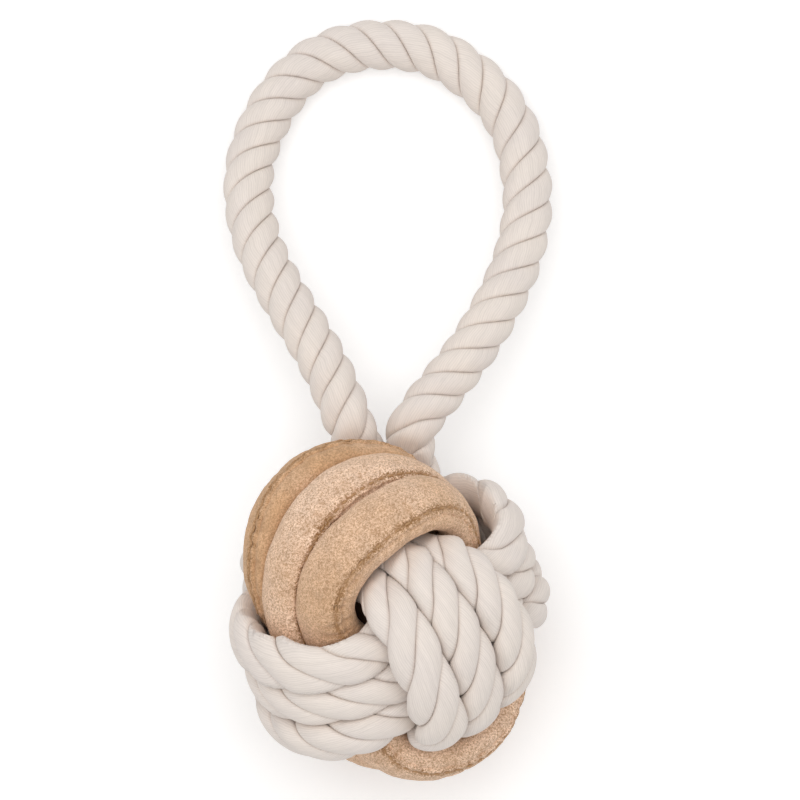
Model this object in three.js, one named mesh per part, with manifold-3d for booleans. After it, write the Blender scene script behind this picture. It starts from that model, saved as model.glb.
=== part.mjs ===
// A rope dog toy lying on a table, in millimetres, +Z up and +Y from the ball towards the loop's bow.
// The ball is a three-turn monkey's fist: three bands of rope that cross at right angles round a core.
// One band is cord in a sewn suede sleeve. The other two are bare rope, and one of them carries on out
// of the ball as the loop that a hand holds. Each band is one unbroken tube.
import * as THREE from 'three';
import { mergeVertices } from 'three/addons/utils/BufferGeometryUtils.js';
import Module from 'manifold-3d';

const wasm = await Module();
wasm.setup();

// Rope
const ropeDiameter = 14; // the free rope of the loop
const hauledShare = 0.79; // how thin the same rope is where it is hauled tight round the core
const woundDiameter = ropeDiameter * hauledShare;
const windingGap = 0.64; // between neighbouring turns
const turnSpacing = woundDiameter + windingGap;

// Suede sleeve, its filler and its seam
const suedeWall = 1.2;
const fillerGap = 0.3;
const seamThreadDiameter = 0.8;
const seamGap = 0.3; // from the thread to each edge of the suede
const seamAngles = [1.0, 1.2, 0.35]; // radians from straight out, turn by turn
const seamShiftShares = [0.2, 0.8]; // the part of a turn over which the seam wanders to its next angle

// Loop handle, to the middle of the rope
const handleLength = 108; // from the hinge line where the legs leave the ball to the bow
const handleWidth = 80;
const hingeReachShare = 1.245; // the hinge line's distance from the ball's centre, in ball reaches
const hingeDropShare = 0.28; // how far it lies below the ball's centre, in ball reaches
const hingeSlope = 0.1; // how steeply the legs go down there, as a rise over a run

// Gaps and flats
const touchGap = 0.3; // between two pieces that touch on the real toy
const flatShare = 0.1; // the flats where the toy rests, in cord diameters
const mergeTolerance = 1e-4;

// How finely the tubes are cut
const turnSteps = 32; // steps in one full turn of a winding
const woundSides = 8;
const fillerSides = 6;
const threadSides = 3;
const handleSides = 12;
const spanSteps = 3; // between two points of the handle's route
const coreMeridians = 24;
const coreRings = 16;

// The fist's own shape, in spacings from turn to turn, fitted to the photo band by band. A turn is a
// curve in polar form about the ball's centre. Its angle is 0 where the turn is outermost and a quarter
// turn on where it passes under the next band.
//   middle, side: mean, twice-round and four-times-round parts of a turn's distance from the axis
//   stack: the same three parts of the step from the middle turn to a side turn
//   fan: once-round parts of that step, as cosine and sine
//   shift: the whole band's own offset out, in and along its stack
//   tilt: once-round parts of its lean along the stack, as cosine and sine
const ballReachShare = 3.664; // from the ball's centre to the middle of the outermost rope
const suedeShares = {
  middle: [3.162, 0.68, -0.022],
  side: [2.754, 0.974, -0.143],
  stack: [1.194, 0.282, 0.125],
  fan: [0.049, -0.051],
  shift: [-0.096, -0.024, 0.117],
  tilt: [-0.004, -0.024],
};
const frontShares = {
  middle: [2.963, 0.527, -0.008],
  side: [2.733, 0.897, -0.161],
  stack: [1.087, 0.076, 0.056],
  fan: [0.012, -0.028],
  shift: [-0.024, 0.141, -0.156],
  tilt: [-0.013, 0.071],
};
const sideShares = {
  middle: [3.158, 0.456, -0.099],
  side: [2.778, 0.898, -0.191],
  stack: [1.068, 0.094, 0.091],
  fan: [0.001, -0.023],
  shift: [0.063, -0.095, -0.025],
  tilt: [0.038, -0.004],
};
const turnsInBand = 3;
const jogHalfAngle = THREE.MathUtils.degToRad(45); // a turn shifts by one place over twice this angle
const tuckAngle = THREE.MathUtils.degToRad(34); // a tucked end stops this far before the crossing
const straightShare = 0.5; // the straight end of the right leg, in wound diameters
const handOverAngle = THREE.MathUtils.degToRad(195); // where the right leg has become the front winding

// How the ball lies: turned about X, Y and Z, in degrees
const ballTurn = new THREE.Euler(
  THREE.MathUtils.degToRad(23.5),
  THREE.MathUtils.degToRad(35.2),
  THREE.MathUtils.degToRad(111.2),
  'XYZ',
);

// Route of the loop, left leg first: places across in handle widths, along in handle lengths
const loopShares = [
  [-0.128, 0],
  [-0.182, 0.1],
  [-0.243, 0.19],
  [-0.337, 0.305],
  [-0.41, 0.4],
  [-0.458, 0.485],
  [-0.484, 0.575],
  [-0.482, 0.676],
  [-0.441, 0.775],
  [-0.37, 0.868],
  [-0.262, 0.948],
  [-0.124, 0.991],
  [0.028, 1.0],
  [0.174, 0.98],
  [0.305, 0.922],
  [0.402, 0.853],
  [0.471, 0.765],
  [0.504, 0.668],
  [0.514, 0.575],
  [0.496, 0.481],
  [0.458, 0.39],
  [0.4, 0.299],
  [0.32, 0.199],
  [0.219, 0.1],
  [0.112, 0],
];

// Routes of the two legs from the ball to the loop: across, along and up from the ball's centre, in
// ball reaches
const leftLegShares = [
  [-0.06, 0.68, -0.46],
  [-0.065, 0.82, -0.445],
  [-0.12, 0.98, -0.395],
  [-0.195, 1.12, -0.33],
];
const rightLegShares = [
  [0.166, 1.136, -0.337],
  [0.208, 0.998, -0.442],
  [0.294, 0.866, -0.46],
];

// Colours
const cotton = { color: 0xe6dcd3, roughness: 0.92 };
const suede = { color: 0xd2b090, roughness: 0.95 };
const threadColour = { color: 0x8a6238, roughness: 0.85 };
const fillerColour = { color: 0xcfc8bd, roughness: 0.95 };
const rubber = { color: 0x6b4a36, roughness: 0.8 };

// The three axes of the fist. Each band runs out over one axis, in under the next, and is stacked
// along the third.
const axes = [0, 1, 2].map((i) => new THREE.Vector3().setComponent(i, 1).applyEuler(ballTurn));
const suedeBand = { outer: axes[0], inner: axes[1], along: axes[2], ...suedeShares };
const frontBand = { outer: axes[1], inner: axes[2], along: axes[0], ...frontShares };
const sideBand = { outer: axes[2], inner: axes[0], along: axes[1], ...sideShares };

const harmonics = (shares, angle) =>
  shares[0] + shares[1] * Math.cos(2 * angle) + shares[2] * Math.cos(4 * angle);

const ballReach = ballReachShare * turnSpacing;

const onceRound = (shares, angle) => shares[0] * Math.cos(angle) + shares[1] * Math.sin(angle);

// A point of a band at an angle, in a place from -1 to 1 across the band
function bandPoint(band, angle, place) {
  const middle = harmonics(band.middle, angle);
  const side = harmonics(band.side, angle);
  const reach = middle + (side - middle) * place * place;
  const step = harmonics(band.stack, angle) + onceRound(band.fan, angle);
  const across = place * step + band.shift[2] + onceRound(band.tilt, angle);
  return new THREE.Vector3()
    .addScaledVector(band.outer, reach * Math.cos(angle) + band.shift[0])
    .addScaledVector(band.inner, reach * Math.sin(angle) + band.shift[1])
    .addScaledVector(band.along, across)
    .multiplyScalar(turnSpacing);
}

// The place across the band of a winding that runs down in angle, with one jog under each crossing at
// minus a quarter turn, minus five quarters and so on
function placeAt(angle) {
  let place = 1;
  for (let turn = 0; turn < turnsInBand - 1; turn += 1) {
    const crossing = -Math.PI / 2 - turn * 2 * Math.PI;
    place -= THREE.MathUtils.smoothstep(-angle, -crossing - jogHalfAngle, -crossing + jogHalfAngle);
  }
  return place;
}

// The middle line of a winding from one angle down to another
function windingPath(band, from, to) {
  const steps = Math.ceil(((from - to) / (2 * Math.PI)) * turnSteps);
  const path = [];
  for (let i = 0; i <= steps; i += 1) {
    const angle = from + ((to - from) * i) / steps;
    path.push(bandPoint(band, angle, placeAt(angle)));
  }
  return path;
}

const windingStart = 1.5 * Math.PI - tuckAngle;
const windingEnd = -4.5 * Math.PI + tuckAngle;

const suedePath = windingPath(suedeBand, windingStart, windingEnd);
const sidePath = windingPath(sideBand, windingStart, windingEnd);
const frontPath = windingPath(frontBand, handOverAngle, windingEnd);

// Directions along a path, and the direction out of the ball square to each
function tangentsOf(path) {
  return path.map((point, i) => {
    const before = path[Math.max(i - 1, 0)];
    const after = path[Math.min(i + 1, path.length - 1)];
    return after.clone().sub(before).normalize();
  });
}

function squareTo(tangents, wishes) {
  return tangents.map((tangent, i) => {
    const wish = wishes[i].clone();
    return wish.addScaledVector(tangent, -wish.dot(tangent)).normalize();
  });
}

// One closed tube: a section of [across, out] points carried along a path, with flat ends. The
// section may change from ring to ring.
function sweep(path, tangents, outs, sectionAt) {
  const count = sectionAt(0).length;
  const positions = [];
  path.forEach((point, i) => {
    const across = new THREE.Vector3().crossVectors(outs[i], tangents[i]);
    for (const [x, y] of sectionAt(i)) {
      const corner = point.clone().addScaledVector(across, x).addScaledVector(outs[i], y);
      positions.push(corner.x, corner.y, corner.z);
    }
  });
  const faces = [];
  for (let ring = 0; ring < path.length - 1; ring += 1) {
    for (let k = 0; k < count; k += 1) {
      const a = ring * count + k;
      const b = ring * count + ((k + 1) % count);
      faces.push(a, b, a + count, b, b + count, a + count);
    }
  }
  const last = (path.length - 1) * count;
  const capAt = (ring) =>
    THREE.ShapeUtils.triangulateShape(sectionAt(ring).map(([x, y]) => new THREE.Vector2(x, y)), []);
  for (const [a, b, c] of capAt(0)) {
    faces.push(a, c, b);
  }
  for (const [a, b, c] of capAt(path.length - 1)) {
    faces.push(last + a, last + b, last + c);
  }
  const geometry = new THREE.BufferGeometry();
  geometry.setAttribute('position', new THREE.Float32BufferAttribute(positions, 3));
  geometry.setIndex(faces);
  return geometry;
}

// A round section, anticlockwise
function roundSection(diameter, sides) {
  const points = [];
  for (let k = 0; k < sides; k += 1) {
    const angle = ((k + 0.5) / sides) * 2 * Math.PI;
    points.push([(diameter / 2) * Math.cos(angle), (diameter / 2) * Math.sin(angle)]);
  }
  return points;
}

// The sleeve's section: a wall wrapped nearly all the way round, open where the seam thread lies
function sleeveSection(seamAngle) {
  const outerRadius = woundDiameter / 2;
  const innerRadius = outerRadius - suedeWall;
  const slot = seamThreadDiameter + 2 * seamGap;
  const points = [];
  const arc = (radius, forwards) => {
    const halfOpen = Math.asin(slot / 2 / radius);
    for (let k = 0; k <= woundSides; k += 1) {
      const share = forwards ? k / woundSides : 1 - k / woundSides;
      const angle = seamAngle + halfOpen + share * (2 * Math.PI - 2 * halfOpen);
      points.push([radius * Math.sin(-angle), radius * Math.cos(angle)]);
    }
  };
  arc(outerRadius, true);
  arc(innerRadius, false);
  return points;
}

// Windings
const outOf = (path) => squareTo(tangentsOf(path), path);

function woundTube(path, diameter, sides) {
  const section = roundSection(diameter, sides);
  return sweep(path, tangentsOf(path), outOf(path), () => section);
}

// The seam wanders round the sleeve from one turn to the next
function seamAngleAt(i, steps) {
  const turn = THREE.MathUtils.clamp((i / steps) * turnsInBand - 0.5, 0, turnsInBand - 1);
  const low = Math.min(Math.floor(turn), turnsInBand - 2);
  const blend = THREE.MathUtils.smoothstep(turn - low, ...seamShiftShares);
  return seamAngles[low] + (seamAngles[low + 1] - seamAngles[low]) * blend;
}

const suedeTangents = tangentsOf(suedePath);
const suedeOuts = outOf(suedePath);
const suedeSteps = suedePath.length - 1;
const sleeve = sweep(suedePath, suedeTangents, suedeOuts, (i) => sleeveSection(seamAngleAt(i, suedeSteps)));

// The bore is faceted, so the filler fits inside its flats
const boreDiameter = (woundDiameter - 2 * suedeWall) * Math.cos(Math.PI / woundSides);
const fillerDiameter = boreDiameter - 2 * fillerGap;
const filler = woundTube(suedePath, fillerDiameter, fillerSides);

// The seam thread lies in the sleeve's opening, half way through the wall
const seamRadius = (woundDiameter - suedeWall) / 2;
const seamPath = suedePath.map((point, i) => {
  const across = new THREE.Vector3().crossVectors(suedeOuts[i], suedeTangents[i]);
  const angle = seamAngleAt(i, suedeSteps);
  return point
    .clone()
    .addScaledVector(across, seamRadius * Math.sin(-angle))
    .addScaledVector(suedeOuts[i], seamRadius * Math.cos(angle));
});
const seamSection = roundSection(seamThreadDiameter, threadSides);
const seamThread = sweep(seamPath, suedeTangents, suedeOuts, () => seamSection);

// Core: a ball that the innermost turns close on
const windings = [...frontPath, ...sidePath, ...suedePath];
const innermost = Math.min(...windings.map((point) => point.length()));
const coreRadius = innermost - woundDiameter / 2 - touchGap;
const core = new THREE.SphereGeometry(coreRadius, coreMeridians, coreRings);

// The table's height, measured from the ball's centre: the lowest turns are cut flat on it
const lowest = Math.min(...windings.map((point) => point.z));
const tableHeight = lowest - woundDiameter / 2 + flatShare * woundDiameter;

// The handle's route, from the left leg's tucked end round the loop to the front winding. The loop
// leaves the ball nearly level, sags, and lies on the table at its bow.
const hingeY = hingeReachShare * ballReach;
const hingeZ = -hingeDropShare * ballReach;
const bowZ = tableHeight + ropeDiameter * (0.5 - flatShare);

function loopPoint([across, along]) {
  const drop = (bowZ - hingeZ) * THREE.MathUtils.smoothstep(along, 0, 1);
  const lead = -hingeSlope * handleLength * along * (1 - along) ** 2;
  return new THREE.Vector3(across * handleWidth, hingeY + along * handleLength, hingeZ + drop + lead);
}

const legPoint = (shares) => new THREE.Vector3(...shares).multiplyScalar(ballReach);

// The right leg ends straight, in line with the front winding that it runs into
const frontHeading = tangentsOf(frontPath)[0];
const behindFront = (length) => frontPath[0].clone().addScaledVector(frontHeading, -length);
const rightLegEnd = [behindFront(woundDiameter * straightShare + touchGap), behindFront(touchGap)];

const route = [
  ...leftLegShares.map(legPoint),
  ...loopShares.map(loopPoint),
  ...rightLegShares.map(legPoint),
  ...rightLegEnd,
];
const routeCurve = new THREE.CatmullRomCurve3(route, false, 'centripetal');

// The handle is cut in three: the loop, and a neck at each leg that bends about the hinge line
const spans = route.length - 1;
const leftSpans = leftLegShares.length + 1;
const rightSpans = spans - rightLegShares.length - rightLegEnd.length - 1;

function stretch(fromSpan, toSpan) {
  const steps = (toSpan - fromSpan) * spanSteps;
  const path = [];
  const tangents = [];
  for (let i = 0; i <= steps; i += 1) {
    const place = (fromSpan + (i / steps) * (toSpan - fromSpan)) / spans;
    path.push(routeCurve.getPoint(place));
    tangents.push(routeCurve.getTangent(place));
  }
  return { path, tangents };
}

const leftNeckRun = stretch(0, leftSpans);
const loopRun = stretch(leftSpans, rightSpans);
const rightNeckRun = stretch(rightSpans, spans);
rightNeckRun.tangents.at(-1).copy(frontHeading);
loopRun.path[0].addScaledVector(loopRun.tangents[0], touchGap);
loopRun.path.at(-1).addScaledVector(loopRun.tangents.at(-1), -touchGap);

// Each leg swells from the hauled thickness to the free one on its way out to the hinge line
const hingeSteps = leftLegShares.length * spanSteps;

function legDiameters({ path }, fromStart) {
  return path.map((point, i) => {
    const steps = fromStart ? i : path.length - 1 - i;
    const share = Math.min(steps / hingeSteps, 1);
    return woundDiameter + (ropeDiameter - woundDiameter) * share;
  });
}

// Up, square to the handle's run, as the reference side of its section
const upwards = new THREE.Vector3(0, 0, 1);

function ropeTube({ path, tangents }, diameters) {
  const ups = squareTo(
    tangents,
    path.map(() => upwards),
  );
  return sweep(path, tangents, ups, (i) => roundSection(diameters[i], handleSides));
}

const leftNeck = ropeTube(leftNeckRun, legDiameters(leftNeckRun, true));
const rightNeck = ropeTube(rightNeckRun, legDiameters(rightNeckRun, false));
const loop = ropeTube(
  loopRun,
  loopRun.path.map(() => ropeDiameter),
);
const front = woundTube(frontPath, woundDiameter, woundSides);
const side = woundTube(sidePath, woundDiameter, woundSides);

// Flats: whatever would reach below the table is cut away
function toManifold(geometry) {
  const bare = geometry.index ? geometry.toNonIndexed() : geometry.clone();
  bare.deleteAttribute('normal');
  bare.deleteAttribute('uv');
  const merged = mergeVertices(bare, mergeTolerance);
  return new wasm.Manifold(
    new wasm.Mesh({
      numProp: 3,
      vertProperties: new Float32Array(merged.attributes.position.array),
      triVerts: new Uint32Array(merged.index.array),
    }),
  );
}

function toGeometry(manifold) {
  const { vertProperties, triVerts } = manifold.getMesh();
  const geometry = new THREE.BufferGeometry();
  geometry.setAttribute('position', new THREE.BufferAttribute(vertProperties, 3));
  geometry.setIndex(new THREE.BufferAttribute(triVerts, 1));
  return geometry;
}

const blockSize = 2 * (handleLength + handleWidth + 2 * ballReach);
const below = new THREE.BoxGeometry(blockSize, blockSize, ropeDiameter);
below.translate(0, 0, tableHeight - ropeDiameter / 2);
const belowTable = toManifold(below);
const cutFlat = (geometry) => toGeometry(toManifold(geometry).subtract(belowTable));

// The assembly, set down so that the middle of its outline stands over the origin
const toy = new THREE.Group();
toy.name = 'rope_dog_toy';

function add(name, geometry, look) {
  const mesh = new THREE.Mesh(geometry, new THREE.MeshStandardMaterial({ ...look, metalness: 0 }));
  mesh.name = name;
  toy.add(mesh);
}

add('core_ball', core, rubber);
add('suede_sleeve', cutFlat(sleeve), suede);
add('sleeve_filler_cord', filler, fillerColour);
add('sleeve_seam_thread', seamThread, threadColour);
add('front_rope_winding', cutFlat(front), cotton);
add('side_rope_winding', cutFlat(side), cotton);
add('left_handle_neck', leftNeck, cotton);
add('right_handle_neck', rightNeck, cotton);
add('handle_loop', cutFlat(loop), cotton);

const outline = new THREE.Box3().setFromObject(toy);
const middle = outline.getCenter(new THREE.Vector3());
toy.position.set(-middle.x, -middle.y, -outline.min.z);

// The least gap of each winding to itself, measured on points of its middle line
function leastSelfGap(path, diameter, apart) {
  let least = Infinity;
  path.forEach((point, i) => {
    for (let j = i + apart; j < path.length; j += 1) {
      least = Math.min(least, point.distanceTo(path[j]) - diameter);
    }
  });
  return least;
}

const halfTurn = turnSteps / 2;
console.log('suede winding, least gap to itself:', leastSelfGap(suedePath, woundDiameter, halfTurn));
console.log('front winding, least gap to itself:', leastSelfGap(frontPath, woundDiameter, halfTurn));
console.log('side winding, least gap to itself:', leastSelfGap(sidePath, woundDiameter, halfTurn));

export default toy;
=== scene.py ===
# %% [markdown]
# # A rope dog toy
# The toy is a rope ball with a loop handle. The ball is a knot of three bands, each wound three
# times round a core. Two bands show bare cotton rope and one is covered in suede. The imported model
# is loaded first as a fixed frame: it says where everything lies and what moves with what. Every
# piece made below takes the place of one or more of its solids and adds what those leave out.

import math

import bpy
import numpy as np
from mathutils import Euler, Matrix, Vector, noise
from mathutils.kdtree import KDTree


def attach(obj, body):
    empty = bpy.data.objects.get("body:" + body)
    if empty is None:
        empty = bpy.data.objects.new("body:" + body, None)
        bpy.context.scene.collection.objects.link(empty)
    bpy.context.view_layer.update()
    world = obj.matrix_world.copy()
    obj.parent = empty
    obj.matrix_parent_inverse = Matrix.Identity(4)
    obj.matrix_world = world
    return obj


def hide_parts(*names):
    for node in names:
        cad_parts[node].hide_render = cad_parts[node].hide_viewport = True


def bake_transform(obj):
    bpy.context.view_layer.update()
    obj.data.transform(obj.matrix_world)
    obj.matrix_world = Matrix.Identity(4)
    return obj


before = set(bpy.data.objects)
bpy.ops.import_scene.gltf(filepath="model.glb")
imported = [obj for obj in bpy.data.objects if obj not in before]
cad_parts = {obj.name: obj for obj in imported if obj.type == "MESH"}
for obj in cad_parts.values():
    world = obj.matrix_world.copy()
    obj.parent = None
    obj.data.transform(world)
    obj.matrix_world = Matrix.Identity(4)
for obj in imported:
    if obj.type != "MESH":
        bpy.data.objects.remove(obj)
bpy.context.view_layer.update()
MM = 0.001
FULL_TURN = 2 * math.pi

# %% [markdown]
# ## The camera
# The picture was taken from straight above through a long lens, so that near and far parts are
# drawn at one scale. The camera here stands high over the table with a lens to match. The picture
# takes in a square of table whose width follows from the size of the toy.

# %% Set up the camera
PICTURE_WIDTH = 228.6 * MM
PICTURE_CENTRE = (3.4 * MM, -0.36 * MM)
FOCUS_HEIGHT = 40 * MM
CAMERA_DISTANCE = 6.0
SENSOR = 36.0
NEAREST = 0.1

bpy.ops.object.select_all(action="DESELECT")
bpy.ops.object.camera_add(location=(*PICTURE_CENTRE, FOCUS_HEIGHT + CAMERA_DISTANCE))
camera = bpy.context.object
camera.data.sensor_width = SENSOR
camera.data.lens = SENSOR * CAMERA_DISTANCE / PICTURE_WIDTH
camera.data.clip_start = NEAREST
camera.data.clip_end = 2 * CAMERA_DISTANCE
bpy.context.scene.camera = camera
print("lens:", round(camera.data.lens), "mm")

# %% [markdown]
# ## The lines that the ropes follow
# A knot like this is drawn best by formula. Each band circles the ball out over one axis and in
# under the next, and its three turns are stacked along the third axis. The same shares as in the
# solid model give the same middle lines, here with more points.

# %% Sizes of the rope and of the knot
ROPE = 14 * MM
WOUND = 11.06 * MM
TURN_SPACING = 11.7 * MM
TOUCH_GAP = 0.3 * MM
STRAIGHT_SHARE = 0.5
HANDLE_LENGTH = 108 * MM
HANDLE_WIDTH = 80 * MM
BALL_REACH = 3.664 * TURN_SPACING
TURNS = 3
JOG = math.radians(45)
TUCK = math.radians(34)
HAND_OVER = math.radians(195)
CAD_STEP = math.radians(971 / 87)
FINE_STEP = math.radians(1)
BALL_CENTRE = np.array((-1.081, -59.699, 45.648)) * MM
BALL_TURN = Euler((math.radians(23.5), math.radians(35.2), math.radians(111.2)), "ZYX")


def smoothstep(x, low=0.0, high=1.0):
    share = np.clip((np.asarray(x, float) - low) / (high - low), 0, 1)
    return share * share * (3 - 2 * share)


def lengths_along(points):
    steps = np.linalg.norm(np.diff(points, axis=0), axis=1)
    return np.concatenate(((0.0,), np.cumsum(steps)))


def even_line(points, spacing):
    lengths = lengths_along(points)
    wanted = np.linspace(0, lengths[-1], round(lengths[-1] / spacing) + 1)
    return np.column_stack([np.interp(wanted, lengths, points[:, i]) for i in range(3)])


print("from the ball's centre to its outermost turns:", round(BALL_REACH / MM, 1), "mm")

# %% [markdown]
# The middle line of a band is a flattened circle, so each of its radii is a mean and a few waves
# that repeat round the circle. The turns lie side by side and fan out a little. From one turn to
# the next the rope jogs across, always under the crossing of another band, where it is hidden.

# %% The shares of the three bands
axes = [np.array(column) for column in BALL_TURN.to_matrix().col]
SUEDE_BAND = {
    "axes": (axes[0], axes[1], axes[2]),
    "middle": (3.162, 0.68, -0.022),
    "side": (2.754, 0.974, -0.143),
    "stack": (1.194, 0.282, 0.125),
    "fan": (0.049, -0.051),
    "shift": (-0.096, -0.024, 0.117),
    "tilt": (-0.004, -0.024),
}
FRONT_BAND = {
    "axes": (axes[1], axes[2], axes[0]),
    "middle": (2.963, 0.527, -0.008),
    "side": (2.733, 0.897, -0.161),
    "stack": (1.087, 0.076, 0.056),
    "fan": (0.012, -0.028),
    "shift": (-0.024, 0.141, -0.156),
    "tilt": (-0.013, 0.071),
}
SIDE_BAND = {
    "axes": (axes[2], axes[0], axes[1]),
    "middle": (3.158, 0.456, -0.099),
    "side": (2.778, 0.898, -0.191),
    "stack": (1.068, 0.094, 0.091),
    "fan": (0.001, -0.023),
    "shift": (0.063, -0.095, -0.025),
    "tilt": (0.038, -0.004),
}
BAND_START = 1.5 * math.pi - TUCK
BAND_END = -(TURNS + 1.5) * math.pi + TUCK
print("a band goes round by", round(math.degrees(BAND_START - BAND_END)), "degrees")

# %% [markdown]
# A band is followed by its angle round the ball. The waves give its reach at each angle, and a place
# across the band goes from one edge to the other in two steps, one for each jog.


# %% The middle lines of the three bands
def harmonics(shares, angle):
    return shares[0] + shares[1] * np.cos(2 * angle) + shares[2] * np.cos(4 * angle)


def once_round(shares, angle):
    return shares[0] * np.cos(angle) + shares[1] * np.sin(angle)


def place_across(angle):
    """From 1 to -1 across the band, with a hidden jog after each turn."""
    place = np.ones_like(angle)
    for turn in range(TURNS - 1):
        crossing = math.pi / 2 + turn * FULL_TURN
        place -= smoothstep(-angle, crossing - JOG, crossing + JOG)
    return place


def band_points(band, angle):
    outer, inner, along = band["axes"]
    place = place_across(angle)
    middle = harmonics(band["middle"], angle)
    reach = middle + (harmonics(band["side"], angle) - middle) * place**2
    step = harmonics(band["stack"], angle) + once_round(band["fan"], angle)
    across = place * step + band["shift"][2] + once_round(band["tilt"], angle)
    points = np.outer(reach * np.cos(angle) + band["shift"][0], outer)
    points += np.outer(reach * np.sin(angle) + band["shift"][1], inner)
    return (points + np.outer(across, along)) * TURN_SPACING


def band_line(band, start, end):
    steps = math.ceil((start - end) / FINE_STEP)
    return BALL_CENTRE + band_points(band, np.linspace(start, end, steps + 1))


suede_line = band_line(SUEDE_BAND, BAND_START, BAND_END)
side_line = band_line(SIDE_BAND, BAND_START, BAND_END)
front_line = band_line(FRONT_BAND, HAND_OVER, BAND_END)
print("points of the middle lines:", len(suede_line), len(side_line), len(front_line))

# %% [markdown]
# The suede is squashed flatter and drawn further in where the knot grips it, and stands up where it
# is free. Each row of the table below gives a place in turns along the band, the depth there and how
# far it is drawn in, both in mm. A rope that is drawn in moves straight towards the ball's centre.

# %% The form of the suede band
SUEDE_FORM = (
    (0.0, 10.5, 0.5),
    (0.2, 12.0, 0.3),
    (0.55, 14.8, 0.0),
    (0.7, 13.7, 0.1),
    (0.85, 11.4, 0.8),
    (1.05, 10.0, 0.8),
    (1.3, 12.0, 0.2),
    (1.6, 14.8, 0.0),
    (1.75, 13.2, 0.2),
    (1.9, 11.5, 0.8),
    (2.1, 10.5, 0.6),
    (2.5, 15.0, -0.2),
    (2.68, 15.8, -0.4),
    (2.8, 12.4, 0.0),
    (2.88, 12.8, 0.0),
    (3.0, 16.0, -0.8),
)
form_turns, form_depths, form_settles = (np.array(column) for column in zip(*SUEDE_FORM))


def turns_along(line):
    lengths = lengths_along(line)
    return lengths / lengths[-1] * TURNS


def drawn_in(line, amounts):
    inwards = BALL_CENTRE - line
    inwards /= np.linalg.norm(inwards, axis=1)[:, None]
    return line + inwards * amounts[:, None]


suede_settles = np.interp(turns_along(suede_line), form_turns, form_settles) * MM
suede_line = drawn_in(suede_line, suede_settles)
print("the suede is drawn in by up to", round(suede_settles.max() / MM, 1), "mm")

# %% [markdown]
# ## The route of the loop handle
# The handle and the front band are one rope. It starts tucked in between the bands, comes out as
# the left leg, goes round the loop, and comes back as the right leg, which turns into the front
# band. The loop leaves the ball level, sags, and lies on the table at its bow.

# %% Points of the route, as shares of the handle's size and of the ball's reach
LOOP_SHARES = (
    ((-0.128, 0), (-0.182, 0.1), (-0.243, 0.19), (-0.337, 0.305), (-0.41, 0.4))
    + ((-0.458, 0.485), (-0.484, 0.575), (-0.482, 0.676), (-0.441, 0.775), (-0.37, 0.868))
    + ((-0.262, 0.948), (-0.124, 0.991), (0.028, 1.0), (0.174, 0.98), (0.305, 0.922))
    + ((0.402, 0.853), (0.471, 0.765), (0.504, 0.668), (0.514, 0.575), (0.496, 0.481))
    + ((0.458, 0.39), (0.4, 0.299), (0.32, 0.199), (0.219, 0.1), (0.112, 0))
)
LEFT_LEG_SHARES = (
    (-0.06, 0.68, -0.46),
    (-0.065, 0.82, -0.445),
    (-0.12, 0.98, -0.395),
    (-0.195, 1.12, -0.33),
)
RIGHT_LEG_SHARES = ((0.166, 1.136, -0.337), (0.208, 0.998, -0.442), (0.294, 0.866, -0.46))
HINGE_REACH = 1.245 * BALL_REACH
HINGE_DROP = -0.28 * BALL_REACH
HINGE_SLOPE = 0.1
FLAT_SHARE = 0.1
BOW_DROP = -BALL_CENTRE[2] + ROPE * (0.5 - FLAT_SHARE)


def loop_point(across, along):
    drop = (BOW_DROP - HINGE_DROP) * float(smoothstep(along))
    lead = -HINGE_SLOPE * HANDLE_LENGTH * along * (1 - along) ** 2
    return (across * HANDLE_WIDTH, HINGE_REACH + along * HANDLE_LENGTH, HINGE_DROP + drop + lead)


first, second = band_points(FRONT_BAND, np.array((HAND_OVER, HAND_OVER - CAD_STEP)))
heading = (second - first) / np.linalg.norm(second - first)
leg_end = first - heading * TOUCH_GAP
route = np.array(
    [np.array(shares) * BALL_REACH for shares in LEFT_LEG_SHARES]
    + [loop_point(*shares) for shares in LOOP_SHARES]
    + [np.array(shares) * BALL_REACH for shares in RIGHT_LEG_SHARES]
    + [leg_end - heading * WOUND * STRAIGHT_SHARE, leg_end]
)
print("the route has", len(route), "points")

# %% [markdown]
# A centripetal Catmull-Rom curve goes through all of its points and never loops back on itself
# where they lie close together. It is written out here as one cubic for each span.

# %% A smooth curve through the route
SPAN_POINTS = 24


def smooth_curve(points, per_span=SPAN_POINTS):
    ends = np.vstack((2 * points[0] - points[1], points, 2 * points[-1] - points[-2]))
    knots = np.sqrt(np.linalg.norm(np.diff(ends, axis=0), axis=1))
    share = np.linspace(0, 1, per_span, endpoint=False)[:, None]
    curve = []
    for i in range(len(points) - 1):
        before, start, end, after = ends[i : i + 4]
        k0, k1, k2 = knots[i : i + 3]
        leave = k1 * ((start - before) / k0 - (end - before) / (k0 + k1) + (end - start) / k1)
        arrive = k1 * ((end - start) / k1 - (after - start) / (k1 + k2) + (after - end) / k2)
        square = -3 * start + 3 * end - 2 * leave - arrive
        cube = 2 * start - 2 * end + leave + arrive
        curve.append(start + leave * share + square * share**2 + cube * share**3)
    return np.vstack(curve + [points[-1:]])


handle_line = smooth_curve(BALL_CENTRE + route)
HANDLE_ROPE = float(lengths_along(handle_line)[-1])
print("rope in the handle and its two legs:", round(HANDLE_ROPE / MM), "mm")

# %% [markdown]
# ## One rope after another
# The handle and the front band are joined to one line, as they are one rope, and its right leg is
# drawn in where it slips under the suede. Every line gets even spacing, because each of its points
# becomes one ring of a tube. To find neighbours quickly, all of them go into one search tree, with
# the rope that each belongs to and its place along it.

# %% The three ropes as even lines, and a tree of their points
RING_SPACING = 0.8 * MM
LEG_PULL = 4 * MM
LEG_PULL_REACH = 16 * MM
LEG_PULL_PLACE = 333 * MM

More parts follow.
